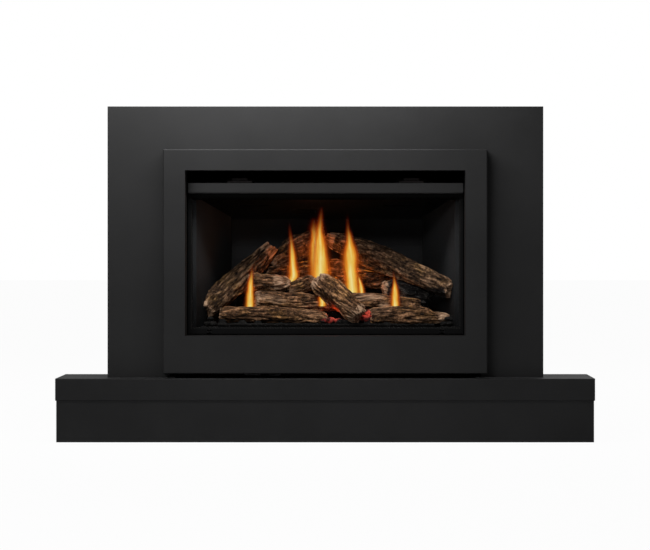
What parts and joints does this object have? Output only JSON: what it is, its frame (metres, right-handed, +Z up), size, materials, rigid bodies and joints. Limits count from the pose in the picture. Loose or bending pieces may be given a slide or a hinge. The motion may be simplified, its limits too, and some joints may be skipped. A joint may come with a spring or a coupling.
{
  "type": "gas fireplace insert",
  "caption": "Direct-vent gas fireplace insert: log fire behind a glass door in a box trim, with a three-sided surround plate on a low hearth riser.",
  "frame": {"origin": "centre of the bounding box in plan, on the floor under the riser", "axes": "+X along the insert's width, to the viewer's right; +Y into the wall, so the glass faces -Y; +Z up"},
  "size_m": [1.372, 0.48, 0.8573],
  "materials": {
    "charcoal_paint": "satin charcoal powder coat, fine texture",
    "black_paint": "satin black high-temperature paint",
    "liner_black": "matt black reflective liner panel",
    "galvanised_steel": "galvanised sheet",
    "aluminium": "bare aluminium",
    "brass": "bare brass",
    "log_ceramic": "painted ceramic fibre, bark texture",
    "ember_ceramic": "painted ceramic embers and charcoal",
    "ceramic_glass": "clear ceramic glass",
    "glass_rope": "woven glass-fibre rope",
    "knob_plastic": "heat-resistant black plastic"
  },
  "bodies": {
    "insert_body": {"riser_top": "charcoal_paint", "riser_base": "charcoal_paint", "riser_brace_left": "galvanised_steel", "riser_brace_right": "galvanised_steel", "rear_stand": "galvanised_steel", "surround_plate": "charcoal_paint", "casing_base": "galvanised_steel", "casing_wrap": "galvanised_steel", "casing_top": "galvanised_steel", "casing_front_frame": "black_paint", "firebox_shell": "black_paint", "firebox_ceiling": "black_paint", "firebox_floor": "black_paint", "door_seat_frame": "black_paint", "liner_left": "liner_black", "liner_right": "liner_black", "liner_back": "liner_black", "flue_plate": "galvanised_steel", "exhaust_collar": "aluminium", "intake_duct": "galvanised_steel", "burner_tray": "black_paint", "log_step": "black_paint", "burner_venturi": "galvanised_steel", "gas_valve": "aluminium", "gas_line": "aluminium", "gas_inlet": "brass", "pilot_assembly": "galvanised_steel", "log_front_left": "log_ceramic", "log_front_right": "log_ceramic", "log_middle_left": "log_ceramic", "log_middle_right": "log_ceramic", "log_rear": "log_ceramic", "log_base_right": "log_ceramic", "log_small_left": "log_ceramic", "log_chunk": "log_ceramic", "log_left_diagonal": "log_ceramic", "log_rear_left": "log_ceramic", "log_right_diagonal": "log_ceramic", "log_crossing": "log_ceramic", "ember_bed": "ember_ceramic", "control_plate": "black_paint", "blower_housing": "galvanised_steel", "blower_motor": "galvanised_steel"},
    "front_trim": {"front_trim": "charcoal_paint"},
    "glass_door": {"door_frame": "black_paint", "door_visor": "charcoal_paint", "door_glass": "ceramic_glass", "door_gasket": "glass_rope"},
    "latch_left": {"latch_lever_left": "galvanised_steel"},
    "latch_right": {"latch_lever_right": "galvanised_steel"},
    "relief_left": {"relief_flap_left": "galvanised_steel"},
    "relief_right": {"relief_flap_right": "galvanised_steel"},
    "gas_control": {"gas_knob": "knob_plastic"},
    "flame_control": {"flame_knob": "knob_plastic"},
    "fan_control": {"fan_dial": "knob_plastic"},
    "power_switch": {"power_rocker": "knob_plastic"},
    "igniter": {"igniter_button": "knob_plastic"},
    "shutter": {"air_shutter": "galvanised_steel"},
    "gas_tap": {"shutoff_lever": "brass"},
    "fan_wheel": {"blower_wheel": "aluminium"}
  },
  "joints": [
    {"name": "front_trim_pull", "type": "slide", "parent": "insert_body", "child": "front_trim", "axis": [0, -1, 0], "range_m": [0, 0.12]},
    {"name": "door_tilt", "type": "hinge", "parent": "insert_body", "child": "glass_door", "pos_m": [0, -0.15, 0.2765], "axis": [1, 0, 0], "range_deg": [0, 25]},
    {"name": "latch_left_lift", "type": "hinge", "parent": "insert_body", "child": "latch_left", "pos_m": [-0.221, -0.127, 0.6688], "axis": [-1, 0, 0], "range_deg": [0, 35], "stiffness_Nm_per_rad": 0.05, "springref_deg": -17.19},
    {"name": "latch_right_lift", "type": "hinge", "parent": "insert_body", "child": "latch_right", "pos_m": [0.221, -0.127, 0.6688], "axis": [-1, 0, 0], "range_deg": [0, 35], "stiffness_Nm_per_rad": 0.05, "springref_deg": -17.19},
    {"name": "relief_left_lift", "type": "hinge", "parent": "insert_body", "child": "relief_left", "pos_m": [-0.19, -0.05929, 0.6199], "axis": [1, 0, 0], "range_deg": [0, 40]},
    {"name": "relief_right_lift", "type": "hinge", "parent": "insert_body", "child": "relief_right", "pos_m": [0.19, -0.05929, 0.6199], "axis": [1, 0, 0], "range_deg": [0, 40]},
    {"name": "gas_knob_turn", "type": "hinge", "parent": "insert_body", "child": "gas_control", "pos_m": [-0.2, -0.144, 0.2226], "axis": [0, 1, 0], "range_deg": [0, 180]},
    {"name": "flame_knob_turn", "type": "hinge", "parent": "insert_body", "child": "flame_control", "pos_m": [-0.144, -0.144, 0.2226], "axis": [0, 1, 0], "range_deg": [0, 90]},
    {"name": "fan_dial_turn", "type": "hinge", "parent": "insert_body", "child": "fan_control", "pos_m": [0.205, -0.148, 0.2226], "axis": [0, 1, 0], "range_deg": [0, 270]},
    {"name": "power_rocker_tip", "type": "hinge", "parent": "insert_body", "child": "power_switch", "pos_m": [0.15, -0.1491, 0.2226], "axis": [1, 0, 0], "range_deg": [-16, 0]},
    {"name": "igniter_press", "type": "slide", "parent": "insert_body", "child": "igniter", "axis": [0, 1, 0], "range_m": [0, 0.005], "stiffness_N_per_m": 400, "springref_m": -0.001},
    {"name": "air_shutter_turn", "type": "hinge", "parent": "insert_body", "child": "shutter", "pos_m": [-0.027, -0.0728, 0.2226], "axis": [1, 0, 0], "range_deg": [0, 40]},
    {"name": "gas_tap_turn", "type": "hinge", "parent": "insert_body", "child": "gas_tap", "pos_m": [-0.3, -0.1077, 0.234], "axis": [0, 0, 1], "range_deg": [0, 90]},
    {"name": "fan_spin", "type": "hinge", "parent": "insert_body", "child": "fan_wheel", "pos_m": [0, 0.19795, 0.2066], "axis": [1, 0, 0], "continuous": true}
  ]
}
